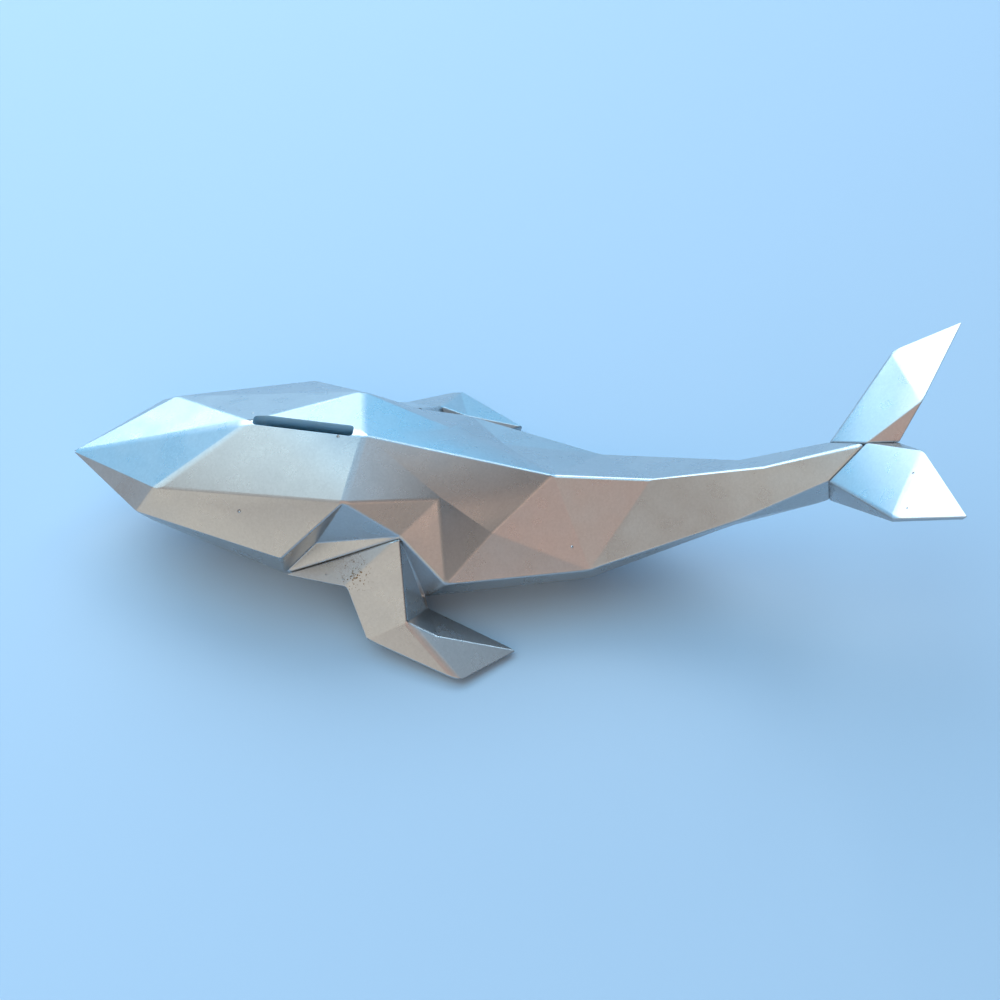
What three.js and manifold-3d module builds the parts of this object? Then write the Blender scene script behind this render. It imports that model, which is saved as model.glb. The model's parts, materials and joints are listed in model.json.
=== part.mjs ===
// A faceted whale coin bank: a hollow cast body with a coin slot in the crown of the head,
// two flippers and two tail flukes cast on their own, pinned and glued on, and a soft stopper in the belly.
// Millimetres. +X runs from the head to the tail, +Z is up, and the belly stands on z = 0.
// The left side of the whale is at -Y. Every corner below is [station, half width, height].
import * as THREE from 'three';
import { mergeVertices } from 'three/addons/utils/BufferGeometryUtils.js';
import Module from 'manifold-3d';

const wasm = await Module();
wasm.setup();

// Corners along the middle of the body
const noseTip = [-141, 0, 28.5];
const slotFront = [-80, 0, 53.5];
const crown = [-43, 0, 51.4];
const backDip = [17, 0, 38.5];
const loin = [48.5, 0, 41];
const tailRidge = [82, 0, 52];
const chin = [-114, 0, 9];
const tailKeel = [76, 0, 29];

// Corners down each side of the head
const brow = [-109, 18.5, 38.6];
const cheek = [-47, 22.3, 45];
const jaw = [-114.7, 23, 30.7];
const jawUnder = [-113.7, 14.8, 14.3];
const jowl = [-65.6, 36, 30.8];
const flipperPocket = [-57, 24, 23.3];

// Corners of the flat triangle that carries each flipper
const socketFront = [-67, 30, 13.3];
const socketTop = [-29.2, 25.6, 33.9];
const socketRear = [-20.5, 33, 11.5];

// Corners along each flank
const shoulder = [-18.1, 14.4, 40];
const flank = [-13.7, 34.1, 21.2];
const flankUnder = [-13, 31, 11];
const midBack = [-0.6, 17.7, 28.6];
const hip = [31.4, 23.3, 20.5];
const hipUnder = [31.6, 21, 12.5];
const tailSide = [75.9, 12.1, 38.9];
const tailSideUnder = [76, 8, 31];

// Flat belly that the bank stands on
const bellyFront = [-84, 9, 0];
const bellyChest = [-66, 20, 0];
const bellyWaist = [-18, 22.5, 0];
const bellyRear = [20, 13.5, 0];

// Upright end of the tail stock, a wedge whose two faces carry the flukes
const tailEndStation = 112.3;
const tailEndTop = 69.5;
const tailEndBottom = 52;
const tailEndSide = [102.5, 7.6, 58.5];
const tailEndUnderHalf = 6.3;
const tailEndUnderHeight = 46.5;

// Hollow for the coins
const wall = 6;
const hollowFront = -120;
const hollowRear = 36;
const hollowAxisHeight = 24;

// Coin slot, cut down through the crown a little to the right of the ridge
const slotLength = 32;
const slotWidth = 4.8;
const slotEndRadius = 1.2;
const slotCentre = -63;
const slotOffset = 1.5;

// Belly stopper and the stepped hole that it plugs
const stopperStation = -40;
const stopperHoleDiameter = 30;
const stopperTaper = 1.6;
const stopperHeight = 9;
const flangeDiameter = 36;
const flangeThickness = 2.4;
const flangeRecess = 3;
const gripDishDiameter = 19;
const gripDishDepth = 4.5;
const gripTabLength = 14;
const gripTabThickness = 2.6;
const gripTabHeight = 3.8;

// Flipper corners beyond the socket, and the underside of the blade
const flipperSpan = 116.8;
const elbowFront = [-45.5, 37.3, 19.9];
const elbowInner = [-25.2, 43.8, 12.5];
const elbowRear = [-20, 34, 6.2];
const bladeFront = [-38.1, 48.4, 6.9];
const bladeOuter = [-7, flipperSpan / 2, 3];
const bladeTip = [10.2, 44.6, 2.2];
const bladeTipUnder = [5.7, 44.5, 0];
const bladeCrest = [-14.9, 46, 8.9];
const bladeEdge = 2.2;
const bladeUndercut = 4.5;
const elbowUnder = [-44.5, 33.5, 12.5];
const bladeFrontUnder = [-36.5, 45.2, 3.2];
const elbowRearUnder = [-19, 34.2, 3];
const rightBladeOuter = [-20.3, flipperSpan / 2, 3];
const rightBladeTip = [3.1, 44.2, 4];
const rightBladeTipUnder = [2.6, 44.3, 0];
const rightBladeCrest = [-16, 43.3, 9];

// Fluke corners, each [behind the tail end, half width, above the crest of the tail end]
const flukeFront = [7.2, 32.1, 6.5];
const flukeTip = [26.9, 36.8, 17.4];
const flukeRear = [15.7, 9.8, 11.3];
const flukeNotchBehind = 10;
const flukeNotchRise = 1.8;
const flukeNotchDepth = 7;
const flukeEdge = 2.4;
const flukeUndercut = 0.5;
const flukeRearUndercut = 1;
const flukeNotchUndercut = 3.5;

// Steel dowels
const flipperDowelDiameter = 4;
const flipperDowelInBody = 8;
const flipperDowelInFlipper = 4.5;
const dowelTopShare = 0.25;
const dowelRearShare = 0.45;
const flukeDowelDiameter = 2.4;
const flukeDowelLength = 18;
const flukeDowelHalf = 4;
const flukeDowelSlope = 36;

// Fits
const glueGap = 0.4;
const dowelClearance = 0.3;
const stopperClearance = 0.3;
const roundSides = 40;
const dowelSides = 16;
const cutOvershoot = 4;

const silverPaint = { color: 0xb9bcc0, roughness: 0.36, metalness: 0.85 };
const zincSteel = { color: 0x9a9da1, roughness: 0.4, metalness: 1 };
const softStopper = { color: 0x24262a, roughness: 0.7, metalness: 0 };

// A corner on the left side is at -Y, and on the right side at +Y
const LEFT = -1;
const RIGHT = 1;
const onSide = (corner, side) => new THREE.Vector3(corner[0], side * corner[1], corner[2]);

// A closed solid from facets given as triples of points, anticlockwise seen from outside
function facetedGeometry(facets) {
  const positions = facets.flatMap((facet) => facet.flatMap((point) => point.toArray()));
  const geometry = new THREE.BufferGeometry();
  geometry.setAttribute('position', new THREE.Float32BufferAttribute(positions, 3));
  return geometry;
}

function toSolid(geometry) {
  const bare = geometry.clone();
  bare.deleteAttribute('normal');
  bare.deleteAttribute('uv');
  const merged = mergeVertices(bare, 1e-4);
  return new wasm.Manifold(new wasm.Mesh({
    numProp: 3,
    vertProperties: new Float32Array(merged.attributes.position.array),
    triVerts: new Uint32Array(merged.index.array),
  }));
}

function toGeometry(solid) {
  const mesh = solid.getMesh();
  const geometry = new THREE.BufferGeometry();
  geometry.setAttribute('position', new THREE.Float32BufferAttribute(mesh.vertProperties, 3));
  geometry.setIndex(new THREE.Uint32BufferAttribute(mesh.triVerts, 1));
  return geometry;
}

function named(name, geometry, finish) {
  const mesh = new THREE.Mesh(geometry, new THREE.MeshStandardMaterial(finish));
  mesh.name = name;
  return mesh;
}

// A round bar from one point to another
function barGeometry(from, to, diameter, sides) {
  const along = new THREE.Vector3().subVectors(to, from);
  const geometry = new THREE.CylinderGeometry(diameter / 2, diameter / 2, along.length(), sides);
  const upright = new THREE.Vector3(0, 1, 0);
  const turn = new THREE.Quaternion().setFromUnitVectors(upright, along.clone().normalize());
  geometry.applyQuaternion(turn);
  const middle = new THREE.Vector3().addVectors(from, to).multiplyScalar(0.5);
  return geometry.translate(middle.x, middle.y, middle.z);
}

// Mirror a facet of the left side to the right, keeping it anticlockwise from outside
const mirrored = (facet) => facet.map((point) => new THREE.Vector3(point.x, -point.y, point.z)).reverse();

// The two end faces of the tail stock stand upright, so their lower corner lies on the same upright plane
const tailEndUnder = [
  tailEndStation - ((tailEndStation - tailEndSide[0]) * tailEndUnderHalf) / tailEndSide[1],
  tailEndUnderHalf,
  tailEndUnderHeight,
];
const tailEndCrest = [tailEndStation, 0, tailEndTop];
const tailEndKeel = [tailEndStation, 0, tailEndBottom];

// Facets of the left half of the body, by corner, anticlockwise seen from outside
const bodyFacets = [
  [noseTip, brow, slotFront],
  [brow, cheek, slotFront],
  [slotFront, cheek, crown],
  [noseTip, jaw, brow],
  [brow, jaw, jowl],
  [brow, jowl, cheek],
  [noseTip, jawUnder, jaw],
  [jaw, jawUnder, socketFront],
  [jaw, socketFront, jowl],
  [noseTip, chin, jawUnder],
  [chin, bellyFront, jawUnder],
  [jawUnder, bellyFront, bellyChest],
  [jawUnder, bellyChest, socketFront],
  [jowl, socketFront, flipperPocket],
  [cheek, jowl, flipperPocket],
  [flipperPocket, socketFront, socketTop],
  [cheek, flipperPocket, socketTop],
  [cheek, socketTop, shoulder],
  [cheek, shoulder, crown],
  [socketFront, socketRear, socketTop],
  [socketFront, bellyChest, bellyWaist],
  [socketFront, bellyWaist, socketRear],
  [socketRear, bellyWaist, flankUnder],
  [flankUnder, bellyWaist, bellyRear],
  [flankUnder, bellyRear, hipUnder],
  [socketTop, flank, shoulder],
  [socketTop, socketRear, flank],
  [socketRear, flankUnder, flank],
  [shoulder, flank, midBack],
  [shoulder, midBack, backDip],
  [crown, shoulder, backDip],
  [midBack, hip, backDip],
  [midBack, flank, hip],
  [flank, flankUnder, hipUnder],
  [flank, hipUnder, hip],
  [backDip, hip, loin],
  [loin, hip, tailSide],
  [loin, tailSide, tailRidge],
  [hip, hipUnder, tailSideUnder],
  [hip, tailSideUnder, tailSide],
  [hipUnder, bellyRear, tailSideUnder],
  [bellyRear, tailKeel, tailSideUnder],
  [tailRidge, tailSide, tailEndSide],
  [tailRidge, tailEndSide, tailEndCrest],
  [tailSide, tailSideUnder, tailEndUnder],
  [tailSide, tailEndUnder, tailEndSide],
  [tailSideUnder, tailKeel, tailEndKeel],
  [tailSideUnder, tailEndKeel, tailEndUnder],
  [tailEndSide, tailEndUnder, tailEndKeel],
  [tailEndSide, tailEndKeel, tailEndCrest],
];

// The facets of the whole body, with the belly and chin closed across the middle
function wholeBody(place) {
  const left = (corner) => place(onSide(corner, LEFT));
  const right = (corner) => place(onSide(corner, RIGHT));
  const halves = bodyFacets.flatMap((facet) => {
    const points = facet.map(left);
    return [points, mirrored(points)];
  });
  const bellyLine = [bellyFront, bellyChest, bellyWaist, bellyRear];
  const belly = bellyLine.slice(1).flatMap((corner, i) => {
    const before = bellyLine[i];
    return [
      [left(before), right(before), right(corner)],
      [left(before), right(corner), left(corner)],
    ];
  });
  const chinPlate = [left(chin), right(bellyFront), left(bellyFront)];
  const tailPlate = [left(bellyRear), right(bellyRear), left(tailKeel)];
  return [...halves, ...belly, chinPlate, tailPlate];
}

// The hollow follows the body, each corner drawn in towards the body's axis by the wall
function drawnIn(point) {
  const towards = new THREE.Vector3(0, -point.y, hollowAxisHeight - point.z);
  const reach = towards.length();
  return point.clone().addScaledVector(towards.normalize(), Math.min(wall, reach));
}

// Flipper dowel: it stands square on the socket, set towards the rear corner where the arm is thickest
function socketFrame(side) {
  const corners = [socketFront, socketTop, socketRear].map((corner) => onSide(corner, side));
  const [front, top, rear] = corners;
  const toRear = rear.clone().sub(front);
  const toTop = top.clone().sub(front);
  const normal = new THREE.Vector3().crossVectors(toRear, toTop).normalize();
  if (normal.y * side < 0) normal.negate();
  const seat = new THREE.Vector3()
    .addScaledVector(front, 1 - dowelTopShare - dowelRearShare)
    .addScaledVector(top, dowelTopShare)
    .addScaledVector(rear, dowelRearShare);
  return { corners, normal, seat };
}
function flipperDowelEnds(side, slack) {
  const { normal, seat } = socketFrame(side);
  const inner = seat.clone().addScaledVector(normal, -flipperDowelInBody - slack);
  const outer = seat.clone().addScaledVector(normal, flipperDowelInFlipper + slack);
  return [inner, outer];
}

// Fluke dowel: it runs up along the slope of the tail, half in the tail stock and half in the fluke
function flukeDowelEnds(side, slack) {
  const share = flukeDowelHalf / tailEndSide[1];
  const station = tailEndStation - (tailEndStation - tailEndSide[0]) * share;
  const topHeight = tailEndTop + (tailEndSide[2] - tailEndTop) * share;
  const lowHeight = tailEndBottom + (tailEndUnderHeight - tailEndBottom) * share;
  const middle = new THREE.Vector3(station, side * flukeDowelHalf, (topHeight + lowHeight) / 2);
  const slope = THREE.MathUtils.degToRad(flukeDowelSlope);
  const along = new THREE.Vector3(Math.cos(slope), 0, Math.sin(slope));
  const reach = flukeDowelLength / 2 + slack;
  return [middle.clone().addScaledVector(along, -reach), middle.clone().addScaledVector(along, reach)];
}

function dowelHole(ends, side, diameter) {
  return barGeometry(...ends(side, dowelClearance), diameter + 2 * dowelClearance, dowelSides);
}
const flipperDowelHole = (side) => dowelHole(flipperDowelEnds, side, flipperDowelDiameter);
const flukeDowelHole = (side) => dowelHole(flukeDowelEnds, side, flukeDowelDiameter);

// Body: the outer facets less the hollow, the slot, the stopper's stepped hole and the dowel holes
function makeBody() {
  const outer = toSolid(facetedGeometry(wholeBody((point) => point)));
  const inner = toSolid(facetedGeometry(wholeBody(drawnIn)));
  const hollowSpan = hollowRear - hollowFront;
  const hollowBox = new THREE.BoxGeometry(hollowSpan, hollowSpan, hollowSpan);
  hollowBox.translate((hollowFront + hollowRear) / 2, 0, hollowAxisHeight);
  const hollow = inner.intersect(toSolid(hollowBox));

  const slotOutline = new THREE.Shape();
  const halfLength = slotLength / 2 - slotEndRadius;
  const halfWidth = slotWidth / 2 - slotEndRadius;
  slotOutline.absarc(halfLength, halfWidth, slotEndRadius, 0, Math.PI / 2);
  slotOutline.absarc(-halfLength, halfWidth, slotEndRadius, Math.PI / 2, Math.PI);
  slotOutline.absarc(-halfLength, -halfWidth, slotEndRadius, Math.PI, Math.PI * 1.5);
  slotOutline.absarc(halfLength, -halfWidth, slotEndRadius, Math.PI * 1.5, Math.PI * 2);
  const slotDepth = slotFront[2] - hollowAxisHeight + cutOvershoot;
  const slotCut = { depth: slotDepth, bevelEnabled: false, curveSegments: 4 };
  const slot = new THREE.ExtrudeGeometry(slotOutline, slotCut);
  slot.translate(slotCentre, slotOffset * RIGHT, hollowAxisHeight);

  const holeRadius = stopperHoleDiameter / 2;
  const flangeRadius = flangeDiameter / 2 + stopperClearance;
  const stepped = new THREE.LatheGeometry([
    new THREE.Vector2(0, -cutOvershoot),
    new THREE.Vector2(flangeRadius, -cutOvershoot),
    new THREE.Vector2(flangeRadius, flangeRecess),
    new THREE.Vector2(holeRadius, flangeRecess),
    new THREE.Vector2(holeRadius, hollowAxisHeight),
    new THREE.Vector2(0, hollowAxisHeight),
  ], roundSides);
  stepped.rotateX(Math.PI / 2).translate(stopperStation, 0, 0);

  let body = outer.subtract(hollow).subtract(toSolid(slot)).subtract(toSolid(stepped));
  for (const side of [LEFT, RIGHT]) {
    body = body.subtract(toSolid(flipperDowelHole(side))).subtract(toSolid(flukeDowelHole(side)));
  }
  return named('body_shell', toGeometry(body), silverPaint);
}

// Flipper: an arm that grows from the socket to the elbow, and a blade that lies back along the ground.
// The outer rim of the blade is thin, because its underside is drawn in towards the elbow.
function makeFlipper(name, side, [outerCorner, tipCorner, tipUnderCorner, crestCorner]) {
  const { corners, normal } = socketFrame(side);
  const [front, top, rear] = corners.map((point) => point.clone().addScaledVector(normal, glueGap));
  const elbow = onSide(elbowFront, side);
  const innerElbow = onSide(elbowInner, side);
  const rearElbow = onSide(elbowRear, side);
  const lead = onSide(bladeFront, side);
  const outer = onSide(outerCorner, side);
  const tip = onSide(tipCorner, side);
  const crest = onSide(crestCorner, side);
  const crook = onSide(elbowUnder, side);
  const leadUnder = onSide(bladeFrontUnder, side);
  const rearUnder = onSide(elbowRearUnder, side);
  const tipUnder = onSide(tipUnderCorner, side);
  const [station, half, height] = outerCorner;
  const inward = new THREE.Vector2(elbowInner[0] - station, elbowInner[1] - half).setLength(bladeUndercut);
  const outerUnder = onSide([station + inward.x, half + inward.y, height - bladeEdge], side);
  const facets = [
    [front, top, rear],
    [front, elbow, top],
    [elbow, innerElbow, top],
    [elbow, lead, innerElbow],
    [top, innerElbow, rearElbow],
    [top, rearElbow, rear],
    [lead, outer, innerElbow],
    [innerElbow, outer, crest],
    [crest, outer, tip],
    [innerElbow, crest, rearElbow],
    [crest, tip, rearElbow],
    [front, crook, elbow],
    [elbow, crook, leadUnder],
    [elbow, leadUnder, lead],
    [lead, leadUnder, outerUnder],
    [lead, outerUnder, outer],
    [outer, outerUnder, tipUnder],
    [outer, tipUnder, tip],
    [tip, tipUnder, rearUnder],
    [tip, rearUnder, rearElbow],
    [rearElbow, rearUnder, rear],
    [front, rear, crook],
    [crook, rear, rearUnder],
    [crook, rearUnder, leadUnder],
    [leadUnder, rearUnder, tipUnder],
    [leadUnder, tipUnder, outerUnder],
  ];
  const outward = side === LEFT ? facets : facets.map((facet) => facet.slice().reverse());
  const solid = toSolid(facetedGeometry(outward)).subtract(toSolid(flipperDowelHole(side)));
  return named(name, toGeometry(solid), silverPaint);
}

// Fluke: a root face on the wedge of the tail, spreading to a thin blade that rises to its tip
function makeFluke(name, side) {
  const halfGap = glueGap / 2;
  const endRun = new THREE.Vector2(tailEndSide[0] - tailEndStation, tailEndSide[1]).normalize();
  const offset = [glueGap * endRun.y, -glueGap * endRun.x];
  const rooted = ([station, half, height]) =>
    onSide([station + offset[0], Math.max(half + offset[1], halfGap), height], side);
  const crest = rooted(tailEndCrest);
  const root = rooted(tailEndSide);
  const rootUnder = rooted(tailEndUnder);
  const keel = rooted(tailEndKeel);
  const fromTailEnd = ([behind, half, rise]) =>
    onSide([tailEndStation + behind, half, tailEndTop + rise], side);
  const lowered = ([behind, half, rise], forward) =>
    fromTailEnd([behind - forward, half - flukeUndercut, rise - flukeEdge]);
  const lead = fromTailEnd(flukeFront);
  const tip = fromTailEnd(flukeTip);
  const trail = fromTailEnd(flukeRear);
  const notch = fromTailEnd([flukeNotchBehind, halfGap, flukeNotchRise]);
  const leadUnder = lowered(flukeFront, 0);
  const tipUnder = lowered(flukeTip, flukeRearUndercut);
  const trailUnder = lowered(flukeRear, flukeRearUndercut);
  const notchUnder = fromTailEnd([
    flukeNotchBehind - flukeNotchUndercut,
    halfGap,
    flukeNotchRise - flukeNotchDepth,
  ]);
  const facets = [
    [crest, root, lead],
    [crest, lead, trail],
    [lead, tip, trail],
    [crest, trail, notch],
    [keel, leadUnder, rootUnder],
    [keel, trailUnder, leadUnder],
    [leadUnder, trailUnder, tipUnder],
    [keel, notchUnder, trailUnder],
    [root, rootUnder, leadUnder],
    [root, leadUnder, lead],
    [lead, leadUnder, tipUnder],
    [lead, tipUnder, tip],
    [tip, tipUnder, trailUnder],
    [tip, trailUnder, trail],
    [trail, trailUnder, notchUnder],
    [trail, notchUnder, notch],
    [notch, notchUnder, keel],
    [notch, keel, crest],
    [crest, keel, rootUnder],
    [crest, rootUnder, root],
  ];
  const outward = side === LEFT ? facets : facets.map((facet) => facet.slice().reverse());
  const solid = toSolid(facetedGeometry(outward)).subtract(toSolid(flukeDowelHole(side)));
  return named(name, toGeometry(solid), silverPaint);
}

// Stopper: a tapered plug with a flange that sits in the belly, and a finger tab in a dish on its face
function makeStopper() {
  const stemRadius = stopperHoleDiameter / 2 - stopperClearance;
  const flangeTop = flangeRecess - stopperClearance;
  const flangeBottom = flangeTop - flangeThickness;
  const dishRadius = gripDishDiameter / 2;
  const plug = new THREE.LatheGeometry([
    new THREE.Vector2(0, flangeBottom + gripDishDepth),
    new THREE.Vector2(dishRadius, flangeBottom + gripDishDepth),
    new THREE.Vector2(dishRadius, flangeBottom),
    new THREE.Vector2(flangeDiameter / 2, flangeBottom),
    new THREE.Vector2(flangeDiameter / 2, flangeTop),
    new THREE.Vector2(stemRadius, flangeTop),
    new THREE.Vector2(stemRadius - stopperTaper, flangeBottom + stopperHeight),
    new THREE.Vector2(0, flangeBottom + stopperHeight),
  ], roundSides);
  plug.rotateX(Math.PI / 2);
  const tabSink = 1;
  const tab = new THREE.BoxGeometry(gripTabLength, gripTabThickness, gripTabHeight + tabSink);
  const tabTop = flangeBottom + gripDishDepth + tabSink;
  tab.translate(0, 0, tabTop - (gripTabHeight + tabSink) / 2);
  const solid = toSolid(plug).add(toSolid(tab));
  const stopper = named('belly_stopper', toGeometry(solid), softStopper);
  stopper.position.x = stopperStation;
  return stopper;
}

const whale = new THREE.Group();
whale.add(makeBody());
whale.add(makeStopper());
whale.add(makeFlipper('left_flipper', LEFT, [bladeOuter, bladeTip, bladeTipUnder, bladeCrest]));
const rightBlade = [rightBladeOuter, rightBladeTip, rightBladeTipUnder, rightBladeCrest];
whale.add(makeFlipper('right_flipper', RIGHT, rightBlade));
whale.add(makeFluke('left_fluke', LEFT));
whale.add(makeFluke('right_fluke', RIGHT));
for (const [sideName, side] of [['left', LEFT], ['right', RIGHT]]) {
  const flipperDowel = barGeometry(...flipperDowelEnds(side, 0), flipperDowelDiameter, dowelSides);
  const flukeDowel = barGeometry(...flukeDowelEnds(side, 0), flukeDowelDiameter, dowelSides);
  whale.add(named(`${sideName}_flipper_dowel`, flipperDowel, zincSteel));
  whale.add(named(`${sideName}_fluke_dowel`, flukeDowel, zincSteel));
}

export default whale;
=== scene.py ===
"""A faceted whale coin bank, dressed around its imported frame. Metres, +X from head to tail, +Z up."""

import json
import math

import bpy
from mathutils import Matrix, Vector


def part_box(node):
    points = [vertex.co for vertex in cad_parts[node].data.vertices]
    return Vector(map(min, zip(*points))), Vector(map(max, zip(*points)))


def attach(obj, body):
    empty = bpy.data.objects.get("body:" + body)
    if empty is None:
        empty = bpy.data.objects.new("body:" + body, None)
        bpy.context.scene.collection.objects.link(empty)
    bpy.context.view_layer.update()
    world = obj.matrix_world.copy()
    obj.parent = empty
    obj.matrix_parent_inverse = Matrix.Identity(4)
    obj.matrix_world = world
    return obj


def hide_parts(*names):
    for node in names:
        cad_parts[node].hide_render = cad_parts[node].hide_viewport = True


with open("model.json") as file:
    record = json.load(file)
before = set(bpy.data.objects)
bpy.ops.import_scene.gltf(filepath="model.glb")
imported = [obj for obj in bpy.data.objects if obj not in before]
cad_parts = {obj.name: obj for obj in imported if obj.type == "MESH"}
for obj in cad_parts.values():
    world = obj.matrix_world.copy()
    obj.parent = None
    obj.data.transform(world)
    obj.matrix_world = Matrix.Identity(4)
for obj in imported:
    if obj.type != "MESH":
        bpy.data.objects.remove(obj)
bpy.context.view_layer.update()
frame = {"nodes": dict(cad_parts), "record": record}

# Body casting
# Head, body and tail stock are one hollow casting in polyurethane resin, slush cast in a rubber mould, with
# the coin slot through the crown. It is sprayed silver after the flippers and flukes are glued on, so the
# facets stay flat, their edges are softly rounded, and the slot and the hollow keep the bare resin.
MM = 0.001
TOUCHING = 0.01 * MM
FLAT_TURN = math.radians(0.3)
SMOOTH_TURN = math.radians(50)
NOSE_SOFTNESS = 0.1 * MM
FOREHEAD_SOFTNESS = 2.0 * MM
BROW_SOFTNESS = 0.8 * MM
CROWN_SOFTNESS = 1.5 * MM
SLOT_RIDGE_SOFTNESS = 3.0 * MM
RIDGE_SOFTNESS = 1.0 * MM
FACET_SOFTNESS = 0.75 * MM
HOLLOW_SOFTNESS = 0.4 * MM
RIDGE_HEIGHT = 20 * MM
CROWN_HEIGHT = 44 * MM
CHEEK_FOLD_HEIGHT = 35 * MM
CHEEK_FOLD_TURN = math.radians(15)
BACK_HALF = 16 * MM
LOIN_HALF = 20 * MM
FAINT_TURN = math.radians(24)
FAINT_HOLLOW = math.radians(-9)
SLOT_MARGIN = 1.2 * MM
SLOT_RIM_RADIUS = 0.2 * MM
STOPPER_RIM_RADIUS = 0.4 * MM
RIM_TURN = math.radians(45)
RIM_STEEPNESS = 0.7
FOLD_CUTS = 3
CLOSE_TO_CORNER = 0.9
MOST = 0.7
BORE_OVERSHOOT = 3 * MM
SPECKLED_AT = (-42.9 * MM, -33.6 * MM, 23.2 * MM)
SILVER, RESIN = 0, 1


def ink(code):
    """A colour written as sRGB hex, as the linear values that the shaders take."""
    channels = [int(code[i:i + 2], 16) / 255 for i in (1, 3, 5)]
    return [c / 12.92 if c <= 0.04045 else ((c + 0.055) / 1.055) ** 2.4 for c in channels] + [1]


def add_node(tree, kind, inputs=None, **settings):
    """Add a node with its settings, and set or link its inputs, given by name or number."""
    made = tree.nodes.new(kind)
    for name, value in settings.items():
        setattr(made, name, value)
    for socket, value in (inputs or {}).items():
        if isinstance(value, bpy.types.NodeSocket):
            tree.links.new(value, made.inputs[socket])
        else:
            made.inputs[socket].default_value = value
    return made


def new_material(name):
    """An empty node material, with its tree and its output node."""
    material = bpy.data.materials.new(name)
    material.use_nodes = True
    material.node_tree.nodes.clear()
    return material, material.node_tree, add_node(material.node_tree, "ShaderNodeOutputMaterial")


def per_mm(size):
    """The texture scale whose features are about this many millimetres across."""
    return 1 / (size * MM)


# Silver spray paint: aluminium flake in a satin lacquer. It mirrors the room softly, facet by facet, with a
# sparkle of flakes, drawn coarser than real ones so that they show, cloudy patches where the coats overlap,
# and a slight orange peel. Small brown specks on the left flipper show where it has rubbed through.
silver_paint, tree, output = new_material("silver_spray_paint")
place = add_node(tree, "ShaderNodeTexCoord").outputs["Object"]
clouds = add_node(tree, "ShaderNodeTexNoise", {"Vector": place, "Scale": per_mm(26), "Detail": 3})
coat = add_node(tree, "ShaderNodeMix", {"Factor": clouds.outputs["Fac"], "A": ink("#b6b7b8"),
                                        "B": ink("#c1c2c3")}, data_type="RGBA")
flakes = add_node(tree, "ShaderNodeTexVoronoi", {"Vector": place, "Scale": per_mm(0.6)})
glint = add_node(tree, "ShaderNodeMapRange", {"Value": flakes.outputs["Color"], "To Min": 0.94,
                                              "To Max": 1.04})
paint_colour = add_node(tree, "ShaderNodeMix", {"Factor": 1.0, "A": coat.outputs[2], "B": glint.outputs[0]},
                        data_type="RGBA", blend_type="MULTIPLY")
patch = add_node(tree, "ShaderNodeVectorMath", {0: place, 1: SPECKLED_AT}, operation="DISTANCE")
crowding = add_node(tree, "ShaderNodeMapRange", {"Value": patch.outputs["Value"], "From Min": 2 * MM,
                                                 "From Max": 9 * MM, "To Min": 0.6, "To Max": 0.0})
specks = add_node(tree, "ShaderNodeTexVoronoi", {"Vector": place, "Scale": per_mm(0.65)})
chance = add_node(tree, "ShaderNodeMath", {0: crowding.outputs[0], 1: specks.outputs["Color"]},
                  operation="MULTIPLY")
rubbed = add_node(tree, "ShaderNodeMath", {0: specks.outputs["Distance"], 1: chance.outputs[0]},
                  operation="LESS_THAN")
worn_colour = add_node(tree, "ShaderNodeMix", {"Factor": rubbed.outputs[0], "A": paint_colour.outputs[2],
                                               "B": ink("#7d6c58")}, data_type="RGBA")
smears = add_node(tree, "ShaderNodeTexNoise", {"Vector": place, "Scale": per_mm(9), "Detail": 4})
gloss = add_node(tree, "ShaderNodeMapRange", {"Value": smears.outputs["Fac"], "From Min": 0.3,
                                              "From Max": 0.7, "To Min": 0.25, "To Max": 0.33})
peel = add_node(tree, "ShaderNodeTexNoise", {"Vector": place, "Scale": per_mm(1.2), "Detail": 2})
grain = add_node(tree, "ShaderNodeBump", {"Height": peel.outputs["Fac"], "Strength": 0.06,
                                          "Distance": 0.1 * MM})
paint = add_node(tree, "ShaderNodeBsdfPrincipled", {
    "Base Color": worn_colour.outputs[2],
    "Metallic": 0.94,
    "Roughness": gloss.outputs[0],
    "Normal": grain.outputs[0],
})
tree.links.new(paint.outputs[0], output.inputs["Surface"])

# Cast polyurethane resin, bare inside the slot, the hollow and the bores: a matt pale blue grey, mottled
# where the two parts of the resin were stirred, with the small dimples of burst bubbles. Its paleness and its
# blue are partly
# painted light: they stand in for the cool skylight that falls into the slot.
bare_resin, tree, output = new_material("cast_resin_with_painted_skylight")
place = add_node(tree, "ShaderNodeTexCoord").outputs["Object"]
stirred = add_node(tree, "ShaderNodeTexNoise", {"Vector": place, "Scale": per_mm(7), "Detail": 5,
                                                "Distortion": 0.6})
# Painted light: both blues are lighter and bluer than bare resin, for the skylight that falls into the slot.
resin_with_painted_skylight = add_node(tree, "ShaderNodeMix", {"Factor": stirred.outputs["Fac"], "A": ink("#a9cee0"),
                                                "B": ink("#bddbe8")}, data_type="RGBA")
bubbles = add_node(tree, "ShaderNodeTexVoronoi", {"Vector": place, "Scale": per_mm(1.4)})
dimple = add_node(tree, "ShaderNodeMapRange", {"Value": bubbles.outputs["Distance"], "From Max": 0.35})
dimples = add_node(tree, "ShaderNodeBump", {"Height": dimple.outputs[0], "Strength": 0.3,
                                            "Distance": 0.2 * MM})
resin = add_node(tree, "ShaderNodeBsdfPrincipled", {
    "Base Color": resin_with_painted_skylight.outputs[2],
    "Roughness": 0.8,
    "Normal": dimples.outputs[0],
})
tree.links.new(resin.outputs[0], output.inputs["Surface"])


def deselect():
    """Leave nothing selected and no object in edit mode."""
    if bpy.context.object and bpy.context.object.mode == "EDIT":
        bpy.ops.object.mode_set(mode="OBJECT")
    bpy.ops.object.select_all(action="DESELECT")


def work_on(piece):
    """Make this piece the only selected and active object."""
    deselect()
    bpy.context.view_layer.objects.active = piece
    piece.select_set(True)


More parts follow.
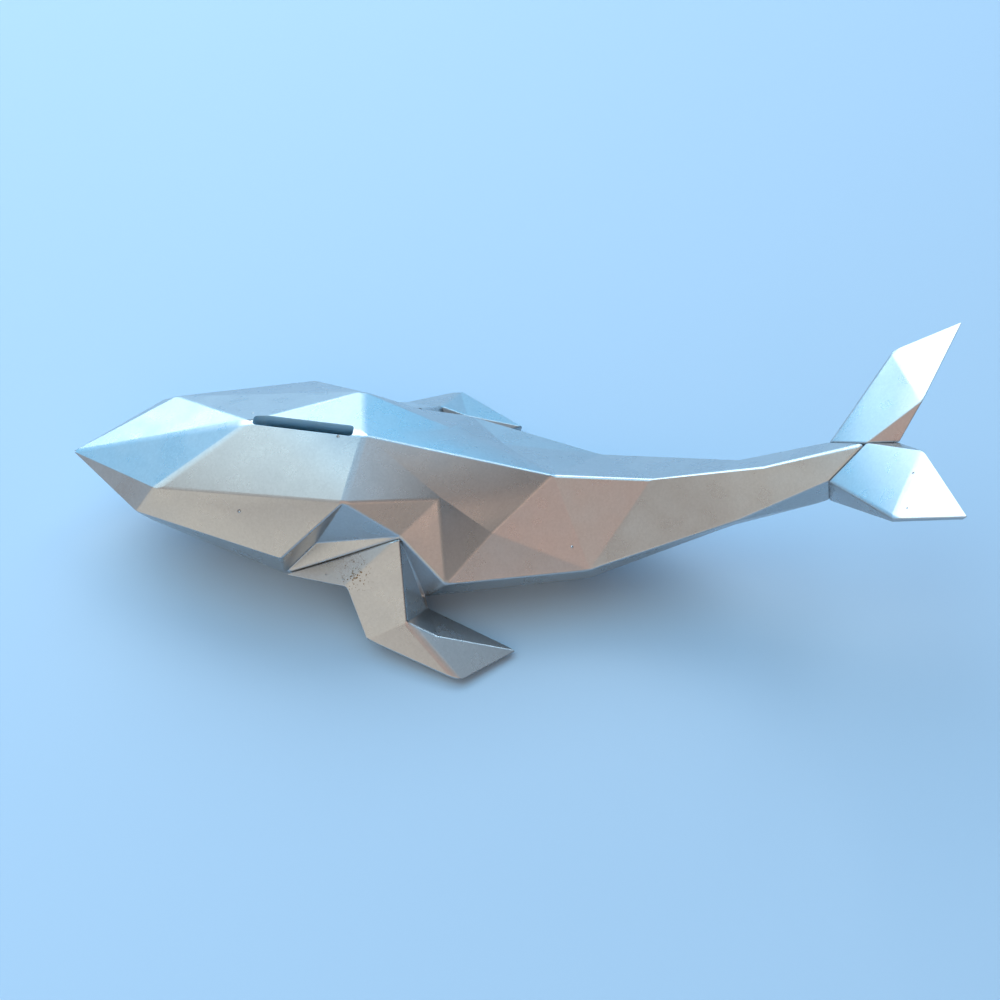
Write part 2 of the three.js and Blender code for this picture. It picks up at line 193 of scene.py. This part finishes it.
def pick(piece, kind, test):
    """Go to edit mode with just the faces, edges or corners that pass the test selected."""
    bpy.ops.object.mode_set(mode="EDIT")
    bpy.ops.mesh.select_mode(type=kind)
    bpy.ops.mesh.select_all(action="DESELECT")
    bpy.ops.object.mode_set(mode="OBJECT")
    mesh = piece.data
    for part in {"FACE": mesh.polygons, "EDGE": mesh.edges, "VERT": mesh.vertices}[kind]:
        part.select = test(part)
    bpy.ops.object.mode_set(mode="EDIT")


def merged_copy(node, name):
    """A copy of a CAD node's mesh as a new piece, its loose triangles merged into whole flat facets."""
    piece = bpy.data.objects.new(name, frame["nodes"][node].data.copy())
    bpy.context.collection.objects.link(piece)
    work_on(piece)
    bpy.ops.object.mode_set(mode="EDIT")
    bpy.ops.mesh.select_all(action="SELECT")
    bpy.ops.mesh.remove_doubles(threshold=TOUCHING / 10)
    bpy.ops.mesh.dissolve_limited(angle_limit=FLAT_TURN)
    bpy.ops.object.mode_set(mode="OBJECT")
    piece.data.materials.clear()
    return piece


def looks_out(piece, face):
    """True for a face whose middle and most of whose corners see out past the piece."""
    corners = [piece.data.vertices[i].co for i in face.vertices]
    spots = [face.center] + [face.center.lerp(corner, CLOSE_TO_CORNER) for corner in corners]
    lift = face.normal * TOUCHING
    clear = [not piece.ray_cast(spot + lift, face.normal)[0] for spot in spots]
    return clear[0] and sum(clear) > MOST * len(clear)


def outer_skin(piece):
    """The numbers of the faces that look out past the piece and are linked to the largest of them."""
    faces = piece.data.polygons
    outward = {face.index for face in faces if looks_out(piece, face)}
    by_edge = {}
    for face in faces:
        for key in face.edge_keys:
            by_edge.setdefault(key, []).append(face.index)
    waiting = [max(outward, key=lambda i: faces[i].area)]
    skin = set()
    while waiting:
        i = waiting.pop()
        if i in skin or i not in outward:
            continue
        skin.add(i)
        waiting += [j for key in faces[i].edge_keys for j in by_edge[key]]
    return skin


def split_casting(node, name):
    """Part a copy of a CAD casting into its closed outer skin and a cutter of all that is bored out of it."""
    cutter = merged_copy(node, name + "_bores")
    skin_faces = outer_skin(cutter)
    pick(cutter, "FACE", lambda face: face.index in skin_faces)
    bpy.ops.mesh.separate(type="SELECTED")
    bpy.ops.object.mode_set(mode="OBJECT")
    skin = next(o for o in bpy.context.selected_objects if o is not cutter)
    skin.name = name

    work_on(cutter)
    walls = len(cutter.data.polygons)
    bpy.ops.object.mode_set(mode="EDIT")
    bpy.ops.mesh.select_all(action="SELECT")
    bpy.ops.mesh.fill_holes(sides=0)
    bpy.ops.mesh.select_all(action="SELECT")
    bpy.ops.mesh.normals_make_consistent(inside=False)
    pick(cutter, "FACE", lambda face: face.index >= walls)
    bpy.ops.mesh.extrude_faces_move(TRANSFORM_OT_shrink_fatten={"value": BORE_OVERSHOOT})
    bpy.ops.object.mode_set(mode="OBJECT")

    work_on(skin)
    bpy.ops.object.mode_set(mode="EDIT")
    bpy.ops.mesh.select_all(action="SELECT")
    bpy.ops.mesh.fill_holes(sides=0)
    bpy.ops.mesh.select_all(action="SELECT")
    bpy.ops.mesh.dissolve_limited(angle_limit=FLAT_TURN)
    bpy.ops.object.mode_set(mode="OBJECT")
    for piece in (skin, cutter):
        piece.data.materials.append(silver_paint)
        piece.data.materials.append(bare_resin)
    for face in cutter.data.polygons:
        face.material_index = RESIN
    for face in skin.data.polygons:
        face.material_index = SILVER
    return skin, cutter


def edge_turns(mesh):
    """The angle that the surface turns through at each edge, by its two corners: below 0 in a hollow."""
    by_edge = {}
    for face in mesh.polygons:
        for key in face.edge_keys:
            by_edge.setdefault(key, []).append(face)
    turns = {}
    for key, sides in by_edge.items():
        if len(sides) == 2:
            turn = sides[0].normal.angle(sides[1].normal)
            hollow = (sides[1].center - sides[0].center).dot(sides[0].normal) > 0
            turns[key] = -turn if hollow else turn
    return turns


def soften(piece, softness, widest):
    """Round the edges between facets, each by the width that softness gives for its two corners and turn.

    A width of 0 leaves a fold to smooth shading.
    """
    mesh = piece.data
    turns = edge_turns(mesh)
    weight = mesh.attributes.new("bevel_weight_edge", "FLOAT", "EDGE")
    for edge in mesh.edges:
        start, end = (mesh.vertices[i].co for i in edge.vertices)
        weight.data[edge.index].value = softness(start, end, turns[edge.key]) / widest
    work_on(piece)
    bevel = piece.modifiers.new("soft_edges", "BEVEL")
    bevel.limit_method = "WEIGHT"
    bevel.width = widest
    bevel.segments = 4
    bevel.use_clamp_overlap = False
    bpy.ops.object.modifier_apply(modifier=bevel.name)


def join_or_cut(piece, tool, operation):
    """Join a closed shape to a piece or cut it out, and drop the shape."""
    work_on(piece)
    boolean = piece.modifiers.new(operation.lower(), "BOOLEAN")
    boolean.operation = operation
    boolean.solver = "EXACT"
    boolean.object = tool
    bpy.ops.object.modifier_apply(modifier=boolean.name)
    bpy.data.objects.remove(tool)


def flat_facets(piece):
    """Shade the rounded edges smooth while the facets between them stay flat."""
    work_on(piece)
    bpy.ops.object.shade_smooth_by_angle(angle=SMOOTH_TURN)
    even = piece.modifiers.new("flat_facets", "WEIGHTED_NORMAL")
    even.keep_sharp = True
    even.weight = 100
    bpy.ops.object.modifier_apply(modifier=even.name)


def dress(piece, node, body_name):
    """Put the finished piece in the place of its CAD node."""
    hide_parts(node)
    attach(piece, body_name)


openings = {opening["name"]: opening["box_m"] for opening in frame["record"]["physics"]["openings"]}
slot_low, slot_high = (Vector(corner) for corner in openings["coin_slot"])


def in_slot(point):
    """True for a point on or between the walls of the coin slot."""
    along = slot_low.x - SLOT_MARGIN < point.x < slot_high.x + SLOT_MARGIN
    across = slot_low.y - SLOT_MARGIN < point.y < slot_high.y + SLOT_MARGIN
    return along and across and point.z > CROWN_HEIGHT


def on_ridge(point):
    """True for a point on the middle plane of the whale."""
    return abs(point.y) < TOUCHING


body, body_bores = split_casting("body_shell", "body_casting")

# The slot is closed for the rounding: its corners go, and the ridge and the right fold of the crown, which
# ran into it, are drawn again. The ridge of the snout is cut in four, so that its rounding can widen.
pick(body, "VERT", lambda corner: in_slot(corner.co))
bpy.ops.mesh.dissolve_verts()
bpy.ops.object.mode_set(mode="OBJECT")
ridge = [c for c in body.data.vertices if on_ridge(c.co) and c.co.z > RIDGE_HEIGHT]
forehead = max((c for c in ridge if c.co.x < slot_low.x), key=lambda c: c.co.x)
crown = min((c for c in ridge if c.co.x > slot_high.x), key=lambda c: c.co.x)
nose = min(ridge, key=lambda c: c.co.x)
forehead_at, crown_at, nose_at = forehead.co.copy(), crown.co.copy(), nose.co.copy()
right_cheek = max((c for c in body.data.vertices if c.co.z > CROWN_HEIGHT), key=lambda c: c.co.y)
snout = {nose.index, forehead.index}
for fold in ({forehead.index, crown.index}, {forehead.index, right_cheek.index}):
    pick(body, "VERT", lambda corner: corner.index in fold)
    bpy.ops.mesh.vert_connect()
    bpy.ops.object.mode_set(mode="OBJECT")
pick(body, "EDGE", lambda edge: set(edge.vertices) == snout)
bpy.ops.mesh.subdivide(number_cuts=FOLD_CUTS)
bpy.ops.object.mode_set(mode="OBJECT")


def near(point, *others):
    """True where a point lies at one of the others."""
    return any((point - other).length < TOUCHING for other in others)


def body_softness(start, end, turn):
    """How wide an edge of the body is rounded: ever wider from the nose to the slot, 0 on a faint fold."""
    middle = (start + end) / 2
    low, high = sorted((start.z, end.z))
    if on_ridge(start) and on_ridge(end):
        if min(start.x, end.x) < slot_low.x < max(start.x, end.x):
            return SLOT_RIDGE_SOFTNESS
        along = (middle.x - nose_at.x) / (forehead_at.x - nose_at.x)
        on_snout = along < 1 and low > nose_at.z
        return NOSE_SOFTNESS + (FOREHEAD_SOFTNESS - NOSE_SOFTNESS) * along if on_snout else RIDGE_SOFTNESS
    if near(nose_at, start, end):
        return NOSE_SOFTNESS
    across_back = on_ridge(start) != on_ridge(end) and max(abs(start.y), abs(end.y)) < BACK_HALF
    if across_back and abs(turn) < FAINT_TURN:
        return 0
    if middle.x < slot_high.x and low < CHEEK_FOLD_HEIGHT < high and abs(turn) < CHEEK_FOLD_TURN:
        return 0
    if near(forehead_at, start, end):
        return 0 if middle.x > forehead_at.x and middle.y < 0 else BROW_SOFTNESS
    if turn < 0:
        high_on_back = max(abs(start.y), abs(end.y)) < LOIN_HALF
        return 0 if high_on_back and turn > FAINT_HOLLOW else HOLLOW_SOFTNESS
    if middle.z > CROWN_HEIGHT and middle.x < 0:
        return CROWN_SOFTNESS
    return FACET_SOFTNESS


soften(body, body_softness, SLOT_RIDGE_SOFTNESS)
join_or_cut(body, body_bores, "DIFFERENCE")

# The rims of the slot and of the stopper's recess are eased with a file before painting.
stopper_low, stopper_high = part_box("belly_stopper")
stopper_middle = (stopper_low + stopper_high) / 2


def in_recess(point):
    """True for a point on the rim of the stopper's recess, in the flat of the belly."""
    reach = math.hypot(point.x - stopper_middle.x, point.y)
    return point.z < TOUCHING and reach < (stopper_high.x - stopper_low.x) / 2 + MM


def rim_edge(edge, place):
    """True for a sharp edge with both corners at the given place, unless it runs upright."""
    start, end = (body.data.vertices[i].co for i in edge.vertices)
    level = abs((end - start).normalized().z) < RIM_STEEPNESS
    return level and place(start) and place(end) and turns.get(edge.key, 0) > RIM_TURN


for place, radius in ((in_slot, SLOT_RIM_RADIUS), (in_recess, STOPPER_RIM_RADIUS)):
    turns = edge_turns(body.data)
    pick(body, "EDGE", lambda edge: rim_edge(edge, place))
    bpy.ops.mesh.bevel(offset=radius, segments=3, affect="EDGES", clamp_overlap=True)
    bpy.ops.object.mode_set(mode="OBJECT")

# Air bubbles in the mould left two pits in the skin and a nib on the flank, and the file nicked the rim of
# the slot, which is the third pit. Each has its place along and across the whale and its width, in mm.
PIT, NIB = "DIFFERENCE", "UNION"
RISE = {PIT: 0.1, NIB: -0.15}
ABOVE = 200 * MM
BODY_PITS = ((-80.4, -24.3, 1.3), (-80.1, 5.9, 1.2), (-51.4, -1.5, 1.1))
FLANK_NIB = (25.1, -17.9, 1.0)


def blemish(piece, station, across, width, kind=PIT):
    """Cut a round pit into a piece, or join a nib to it, at a point found from above."""
    overhead = Vector((station * MM, across * MM, ABOVE))
    spot, normal = piece.ray_cast(overhead, Vector((0, 0, -1)))[1:3]
    middle = spot + normal * (width * MM) * RISE[kind]
    deselect()
    bpy.ops.mesh.primitive_ico_sphere_add(subdivisions=2, radius=width * MM / 2, location=middle)
    join_or_cut(piece, bpy.context.object, kind)


for pit in BODY_PITS:
    blemish(body, *pit)
blemish(body, *FLANK_NIB, kind=NIB)

# One fold is too faint to round. It stays sharp, and is marked here because cuts and joins drop such marks.
turns = edge_turns(body.data)


def back_fold(edge):
    """True for the faint hollow fold that runs down the back from each shoulder."""
    start, end = (body.data.vertices[i].co for i in edge.vertices)
    along_back = crown_at.x < min(start.x, end.x) and max(abs(start.y), abs(end.y)) < LOIN_HALF
    off_ridge = not on_ridge(start) and not on_ridge(end)
    faint = FAINT_HOLLOW < turns.get(edge.key, 0) < 0
    return along_back and off_ridge and faint and (start - end).length > BACK_HALF


pick(body, "EDGE", back_fold)
bpy.ops.mesh.mark_sharp()
bpy.ops.object.mode_set(mode="OBJECT")
flat_facets(body)
dress(body, "body_shell", "whale")

# Flippers
# Each flipper is a solid resin casting of its own, glued on its socket over a steel dowel, and painted with
# the body. Its front edge is chamfered, so a dark groove shows there. The glue closes the rest of the seam.
GLUE_FILL = 0.3 * MM
GROOVE_SOFTNESS = 1.2 * MM
GROOVE_WIDENING = 1.6
SEAM_SOFTNESS = 0.3 * MM
SEAM_OPENING = 0.6 * MM
BLADE_RIDGE_SOFTNESS = 1.5 * MM
FLIPPER_SOFTNESS = 0.7 * MM
BLADE_TIP_SOFTNESS = 0.3 * MM
BLADE_CREST_SOFTNESS = 0.9 * MM
OUTER_CORNER_RADIUS = 1.5 * MM
BLADE_TOP = 10 * MM
RIM_HEIGHT = 6 * MM
LEVEL_TURN = math.radians(1)
FLIPPER_PITS = ((-52.6, -32.7, 0.9), (-46.7, -35.0, 0.8))


def seat(piece, towards):
    """Move a casting's root face towards its seat by the fill of glue, and give a test for its corners."""
    root = max(piece.data.polygons, key=lambda face: face.area * face.normal.dot(towards))
    index, normal = root.index, root.normal.copy()
    work_on(piece)
    pick(piece, "FACE", lambda face: face.index == index)
    bpy.ops.transform.translate(value=normal * GLUE_FILL)
    bpy.ops.object.mode_set(mode="OBJECT")
    level = piece.data.polygons[index].center.dot(normal)
    return lambda point: abs(point.dot(normal) - level) < TOUCHING


for side, way in (("left", -1), ("right", 1)):
    flipper, flipper_bores = split_casting(side + "_flipper", side + "_flipper_casting")
    at_root = seat(flipper, Vector((0, -way, 0)))
    corners = [corner.co.copy() for corner in flipper.data.vertices]
    outer_corner = max(corners, key=lambda corner: way * corner.y)
    blade_tip = max(corners, key=lambda corner: corner.x)
    root_front = min(corners, key=lambda corner: corner.x)
    pick(flipper, "VERT", lambda corner: near(root_front, corner.co))
    opening = Vector((0, way * SEAM_OPENING, 0))
    bpy.ops.transform.translate(value=opening)
    bpy.ops.object.mode_set(mode="OBJECT")
    root_front += opening
    root_top = max((corner for corner in corners if at_root(corner)), key=lambda corner: corner.z)
    groove = root_top - root_front
    front_seam = {corner.index for corner in flipper.data.vertices if near(corner.co, root_front, root_top)}
    pick(flipper, "EDGE", lambda edge: set(edge.vertices) == front_seam)
    bpy.ops.mesh.subdivide(number_cuts=FOLD_CUTS)
    bpy.ops.object.mode_set(mode="OBJECT")

    def in_groove(point):
        """True for a point on the front seam, from the front corner of the root to its top."""
        return (point - root_front).cross(groove.normalized()).length < TOUCHING

    def flipper_softness(start, end, turn):
        """How wide an edge of the flipper is rounded: broad at the front seam and the ridge of the blade."""
        if in_groove(start) and in_groove(end):
            along = ((start + end) / 2 - root_front).length / groove.length
            return GROOVE_SOFTNESS * min(1, GROOVE_WIDENING * along)
        if near(root_front, start, end) or (at_root(start) and at_root(end)):
            return SEAM_SOFTNESS
        if abs(turn) < LEVEL_TURN:
            return 0
        if near(outer_corner, start, end) and max(start.z, end.z) > BLADE_TOP:
            return BLADE_RIDGE_SOFTNESS
        if (start - blade_tip).length < RIM_HEIGHT or (end - blade_tip).length < RIM_HEIGHT:
            return BLADE_CREST_SOFTNESS if max(start.z, end.z) > BLADE_TOP else BLADE_TIP_SOFTNESS
        if (start - end).length < RIM_HEIGHT and near(outer_corner, start, end):
            return OUTER_CORNER_RADIUS
        return HOLLOW_SOFTNESS if turn < 0 else FLIPPER_SOFTNESS

    soften(flipper, flipper_softness, BLADE_RIDGE_SOFTNESS)
    join_or_cut(flipper, flipper_bores, "DIFFERENCE")
    if side == "left":
        for pit in FLIPPER_PITS:
            blemish(flipper, *pit)
    flat_facets(flipper)
    dress(flipper, side + "_flipper", "whale")

# Flukes
# The two halves of the tail are solid castings too, each glued on one face of the wedge that ends the tail
# stock, over a thin steel dowel. Glue and paint almost close the seam, and the thin edges are rounded over.
FLUKE_SOFTNESS = 0.4 * MM
FLUKE_FOLD_SOFTNESS = 2.4 * MM
FLUKE_FOLD_HEIGHT = 75 * MM
FOLD_TURN = math.radians(32)
NEARLY_FLAT = math.radians(6)
FLUKE_PITS = ((124.9, -16.9, 0.8), (123.2, -29.2, 0.7))

for side, way in (("left", -1), ("right", 1)):
    fluke, fluke_bores = split_casting(side + "_fluke", side + "_fluke_casting")
    towards_wedge = Vector((-0.6, -0.8 * way, 0))
    at_root = seat(fluke, towards_wedge)
    turns = edge_turns(fluke.data)
    corners = [corner.co.copy() for corner in fluke.data.vertices]
    long_edges = {edge.key for edge in fluke.data.edges
                  if (corners[edge.vertices[0]] - corners[edge.vertices[1]]).length > RIM_HEIGHT}
    pick(fluke, "EDGE", lambda edge: edge.key in long_edges and abs(turns[edge.key]) < NEARLY_FLAT)
    bpy.ops.mesh.dissolve_edges(use_verts=False)
    bpy.ops.object.mode_set(mode="OBJECT")

    def fluke_softness(start, end, turn):
        """How wide an edge of the fluke is rounded: broad along the fold across it, narrow at the rims."""
        if at_root(start) and at_root(end):
            return SEAM_SOFTNESS
        if abs(turn) > FOLD_TURN:
            return FLUKE_SOFTNESS
        if (start - end).length > RIM_HEIGHT and min(start.z, end.z) > FLUKE_FOLD_HEIGHT:
            return FLUKE_FOLD_SOFTNESS
        return 0

    soften(fluke, fluke_softness, FLUKE_FOLD_SOFTNESS)
    join_or_cut(fluke, fluke_bores, "DIFFERENCE")
    if side == "left":
        for pit in FLUKE_PITS:
            blemish(fluke, *pit)
    flat_facets(fluke)
    dress(fluke, side + "_fluke", "whale")

# Dowels
# Four pins cut from drawn steel rod locate the flippers and flukes in blind bores and stiffen the glue
# joints. Their ends are chamfered, and fine drawing lines run along them.
DOWEL_CHAMFER = 0.3 * MM


def drawn_steel(name, axis):
    """Drawn steel: a cool grey metal, whose highlight is drawn out by light and dark lines along the rod.

    The lines are coarser than real ones, so that they show.
    """
    material, tree, output = new_material(name)
    place = add_node(tree, "ShaderNodeTexCoord").outputs["Object"]
    reach = add_node(tree, "ShaderNodeVectorMath", {0: place, 1: axis}, operation="DOT_PRODUCT")
    along = add_node(tree, "ShaderNodeVectorMath", {0: axis, "Scale": reach.outputs["Value"]},
                     operation="SCALE")
    across = add_node(tree, "ShaderNodeVectorMath", {0: place, 1: along.outputs[0]}, operation="SUBTRACT")
    lines = add_node(tree, "ShaderNodeTexNoise", {"Vector": across.outputs[0], "Scale": per_mm(0.3),
                                                  "Detail": 3})
    colour = add_node(tree, "ShaderNodeMix", {"Factor": lines.outputs["Fac"], "A": ink("#8b8e92"),
                                              "B": ink("#b4b7ba")}, data_type="RGBA")
    gloss = add_node(tree, "ShaderNodeMapRange", {"Value": lines.outputs["Fac"], "To Min": 0.28,
                                                  "To Max": 0.48})
    scores = add_node(tree, "ShaderNodeBump", {"Height": lines.outputs["Fac"], "Strength": 0.2,
                                               "Distance": 0.05 * MM})
    steel = add_node(tree, "ShaderNodeBsdfPrincipled", {
        "Base Color": colour.outputs[2],
        "Metallic": 1.0,
        "Roughness": gloss.outputs[0],
        "Normal": scores.outputs[0],
    })
    tree.links.new(steel.outputs[0], output.inputs["Surface"])
    return material


for joint in ("left_flipper", "right_flipper", "left_fluke", "right_fluke"):
    dowel = merged_copy(joint + "_dowel", joint + "_dowel_rod")
    caps = sorted(dowel.data.polygons, key=lambda face: len(face.vertices))[-2:]
    axis = (caps[1].center - caps[0].center).normalized()
    cap_edges = {key for cap in caps for key in cap.edge_keys}
    pick(dowel, "EDGE", lambda edge: edge.key in cap_edges)
    bpy.ops.mesh.bevel(offset=DOWEL_CHAMFER, segments=2, affect="EDGES")
    bpy.ops.object.mode_set(mode="OBJECT")
    dowel.data.materials.append(drawn_steel("drawn_steel_" + joint, axis))
    flat_facets(dowel)
    dress(dowel, joint + "_dowel", "whale")

# Belly stopper
# A soft plug moulded in black rubber closes the hole in the belly, and comes out to let the coins fall. Its
# tapered stem has two ribs that grip the hole, and a finger tab stands in the dish of its flange.
FLANGE_THICKNESS = 2.4 * MM
STEM_RADIUS = 14.7 * MM
STEM_END_RADIUS = 13.1 * MM
RIB_HEIGHTS = (4.4 * MM, 6.8 * MM)
RIB_HALF = 0.5 * MM
RIB_PROUD = 0.2 * MM
DISH_RADIUS = 9.5 * MM
DISH_FLOOR_RADIUS = 8.6 * MM
DISH_DEPTH = 4.5 * MM
TAB = Vector((14 * MM, 2.6 * MM, 4.8 * MM))
TAB_HEIGHT = 3.1 * MM
MOULD_RADIUS = 0.35 * MM
MOULD_TURN = math.radians(30)
SPIN_STEPS = 96

# Moulded rubber: near black and matt, with a faint grey bloom in patches and the fine grain of the mould.
rubber_paint, tree, output = new_material("moulded_black_rubber")
place = add_node(tree, "ShaderNodeTexCoord").outputs["Object"]
bloom = add_node(tree, "ShaderNodeTexNoise", {"Vector": place, "Scale": per_mm(6), "Detail": 4})
rubber_colour = add_node(tree, "ShaderNodeMix", {"Factor": bloom.outputs["Fac"], "A": ink("#1b1c1e"),
                                                 "B": ink("#2d2e31")}, data_type="RGBA")
sheen = add_node(tree, "ShaderNodeMapRange", {"Value": bloom.outputs["Fac"], "To Min": 0.5, "To Max": 0.75})
pores = add_node(tree, "ShaderNodeTexNoise", {"Vector": place, "Scale": per_mm(0.5), "Detail": 2})
skin = add_node(tree, "ShaderNodeBump", {"Height": pores.outputs["Fac"], "Strength": 0.25,
                                         "Distance": 0.1 * MM})
rubber = add_node(tree, "ShaderNodeBsdfPrincipled", {
    "Base Color": rubber_colour.outputs[2],
    "Roughness": sheen.outputs[0],
    "Normal": skin.outputs[0],
})
tree.links.new(rubber.outputs[0], output.inputs["Surface"])

plug_height = stopper_high.z - stopper_low.z
flange_radius = (stopper_high.x - stopper_low.x) / 2
taper = (STEM_RADIUS - STEM_END_RADIUS) / (plug_height - FLANGE_THICKNESS)
outline = [(0, DISH_DEPTH), (DISH_FLOOR_RADIUS, DISH_DEPTH), (DISH_RADIUS, 0), (flange_radius, 0),
           (flange_radius, FLANGE_THICKNESS), (STEM_RADIUS, FLANGE_THICKNESS)]
for middle in RIB_HEIGHTS:
    stem = STEM_RADIUS - taper * (middle - FLANGE_THICKNESS)
    outline += [(stem, middle - RIB_HALF), (stem + RIB_PROUD, middle), (stem, middle + RIB_HALF)]
outline += [(STEM_END_RADIUS, plug_height), (0, plug_height)]
base = Vector((stopper_middle.x, stopper_middle.y, stopper_low.z))
plug_mesh = bpy.data.meshes.new("belly_plug")
points = [base + Vector((radius, 0, height)) for radius, height in outline]
plug_mesh.from_pydata(points, [(i, i + 1) for i in range(len(points) - 1)], [])
plug = bpy.data.objects.new("belly_plug", plug_mesh)
bpy.context.collection.objects.link(plug)
work_on(plug)
bpy.ops.object.mode_set(mode="EDIT")
bpy.ops.mesh.select_all(action="SELECT")
bpy.ops.mesh.spin(steps=SPIN_STEPS, angle=2 * math.pi, center=base, axis=(0, 0, 1))
bpy.ops.mesh.select_all(action="SELECT")
bpy.ops.mesh.remove_doubles(threshold=TOUCHING)
bpy.ops.mesh.normals_make_consistent(inside=False)
bpy.ops.object.mode_set(mode="OBJECT")


def round_edges(piece, width):
    """Round every edge at which a moulding turns by more than MOULD_TURN."""
    work_on(piece)
    bevel = piece.modifiers.new("mould_radius", "BEVEL")
    bevel.width = width
    bevel.segments = 3
    bevel.limit_method = "ANGLE"
    bevel.angle_limit = MOULD_TURN
    bpy.ops.object.modifier_apply(modifier=bevel.name)


round_edges(plug, MOULD_RADIUS)
deselect()
bpy.ops.mesh.primitive_cube_add(size=1, location=base + Vector((0, 0, TAB_HEIGHT)))
tab = bpy.context.object
tab.scale = TAB
bpy.ops.object.transform_apply(location=True, rotation=True, scale=True)
round_edges(tab, 2 * MOULD_RADIUS)
join_or_cut(plug, tab, "UNION")
plug.data.materials.append(rubber_paint)
flat_facets(plug)
dress(plug, "belly_stopper", "stopper")

# Floor, lamps and camera
# A pale floor under soft studio light and a sky that is blue on the far side and warm grey on the near side.
# Broad lamps stand on both sides and overhead, and small ones light the ridge and warm the flank. The camera
# looks down at the left side of the whale.
FLOOR_SIZE = 6.0
FLOOR_DROP = 0.1 * MM
deselect()
bpy.ops.mesh.primitive_plane_add(size=FLOOR_SIZE, location=(0, 0, -FLOOR_DROP))
floor = bpy.context.object
floor.name = "floor"

# Matt pale blue paint, clear from below, so that a view from under the floor shows the belly.
floor_paint, tree, output = new_material("pale_studio_floor")
matt = add_node(tree, "ShaderNodeBsdfPrincipled", {"Base Color": ink("#b6cee2"), "Roughness": 0.75})
clear = add_node(tree, "ShaderNodeBsdfTransparent")
from_below = add_node(tree, "ShaderNodeNewGeometry").outputs["Backfacing"]
one_sided = add_node(tree, "ShaderNodeMixShader", {0: from_below, 1: matt.outputs[0], 2: clear.outputs[0]})
tree.links.new(one_sided.outputs[0], output.inputs["Surface"])
floor.data.materials.append(floor_paint)


def soft_lamp(name, azimuth, elevation, distance, width, height, brightness, colour):
    """A softbox that faces the whale. Azimuth 0 is on its right, 90 at its tail. Brightness 1 is white."""
    lamp = bpy.data.lights.new(name, "AREA")
    lamp.shape = "RECTANGLE"
    lamp.size, lamp.size_y = width, height
    lamp.energy = brightness * math.pi * width * height
    lamp.color = ink(colour)[:3]
    turn, rise = math.radians(azimuth), math.radians(elevation)
    way = Vector((math.sin(turn) * math.cos(rise), math.cos(turn) * math.cos(rise), math.sin(rise)))
    holder = bpy.data.objects.new(name, lamp)
    holder.location = way * distance
    holder.rotation_euler = way.to_track_quat("Z", "Y").to_euler()
    bpy.context.collection.objects.link(holder)


soft_lamp("window", -25, 42, 1.4, 1.14, 0.71, 2.8, "#fff9f4")
soft_lamp("low_window", -25, 14, 1.4, 1.11, 0.25, 3.0, "#ecfdff")
soft_lamp("top_light", -93, 64.5, 1.4, 1.0, 1.1, 1.25, "#cef3ff")
soft_lamp("left_softbox", -148, 21.5, 1.5, 2.1, 1.0, 0.5, "#fbfff2")
soft_lamp("warm_front", 172, 48, 1.4, 0.75, 0.55, 0.33, "#ffa68e")
soft_lamp("flank_strip", 154, 43, 1.4, 0.27, 0.27, 1.0, "#ffd3b7")
soft_lamp("right_top", 108, 72, 1.4, 0.6, 0.6, 0.3, "#eef4f6")
soft_lamp("ridge_strip", 32, 52, 1.4, 0.3, 0.6, 2.2, "#f4fcff")

# A card in matt dark grey stands behind the tail, out of the camera's sight, for the facets there to mirror.
CARD_SIZE = 1.9
CARD_AT = (0.9, 0.11, 0.95)
bpy.ops.mesh.primitive_plane_add(size=CARD_SIZE, location=CARD_AT, rotation=(0, -math.pi / 2, 0))
card = bpy.context.object
card.name = "dark_card"
card.visible_camera = False
card_paint, tree, output = new_material("black_card")
matt = add_node(tree, "ShaderNodeBsdfPrincipled", {"Base Color": ink("#454548"), "Roughness": 0.9})
tree.links.new(matt.outputs[0], output.inputs["Surface"])
card.data.materials.append(card_paint)

SKY_FRONT, SKY_BACK = -0.28, 0.48
SKY_STRENGTH = 1.7
world = bpy.data.worlds.new("studio")
world.use_nodes = True
bpy.context.scene.world = world
tree = world.node_tree
tree.nodes.clear()
way = add_node(tree, "ShaderNodeSeparateXYZ", {0: add_node(tree, "ShaderNodeTexCoord").outputs["Generated"]})
to_back = add_node(tree, "ShaderNodeMapRange", {"Value": way.outputs["Y"], "From Min": SKY_FRONT,
                                                "From Max": SKY_BACK})
sky = add_node(tree, "ShaderNodeMix", {"Factor": to_back.outputs[0], "A": ink("#918881"),
                                       "B": ink("#82cefe")}, data_type="RGBA")
backdrop = add_node(tree, "ShaderNodeBackground", {"Color": sky.outputs[2], "Strength": SKY_STRENGTH})
add_node(tree, "ShaderNodeOutputWorld", {"Surface": backdrop.outputs[0]})

PHOTO_TILT = 55
PHOTO_TURN = 6.11
PHOTO_FOCAL_PIXELS = 2073
PHOTO_WIDTH_PIXELS = 1000
PIXEL_SIZE = 0.3271 * MM
AIM = Vector((0, 0, 22 * MM))
eye = bpy.data.cameras.new("photo_camera")
eye.sensor_width = 36
eye.lens = eye.sensor_width * PHOTO_FOCAL_PIXELS / PHOTO_WIDTH_PIXELS
eye.clip_start, eye.clip_end = 0.01, 100
turn, rise = math.radians(PHOTO_TURN), math.radians(PHOTO_TILT)
back = Vector((math.sin(turn) * math.cos(rise), -math.cos(turn) * math.cos(rise), math.sin(rise)))
camera = bpy.data.objects.new("photo_camera", eye)
camera.location = AIM + back * PHOTO_FOCAL_PIXELS * PIXEL_SIZE
camera.rotation_euler = back.to_track_quat("Z", "Y").to_euler()
bpy.context.collection.objects.link(camera)
bpy.context.scene.camera = camera
bpy.context.scene.view_settings.view_transform = "Standard"
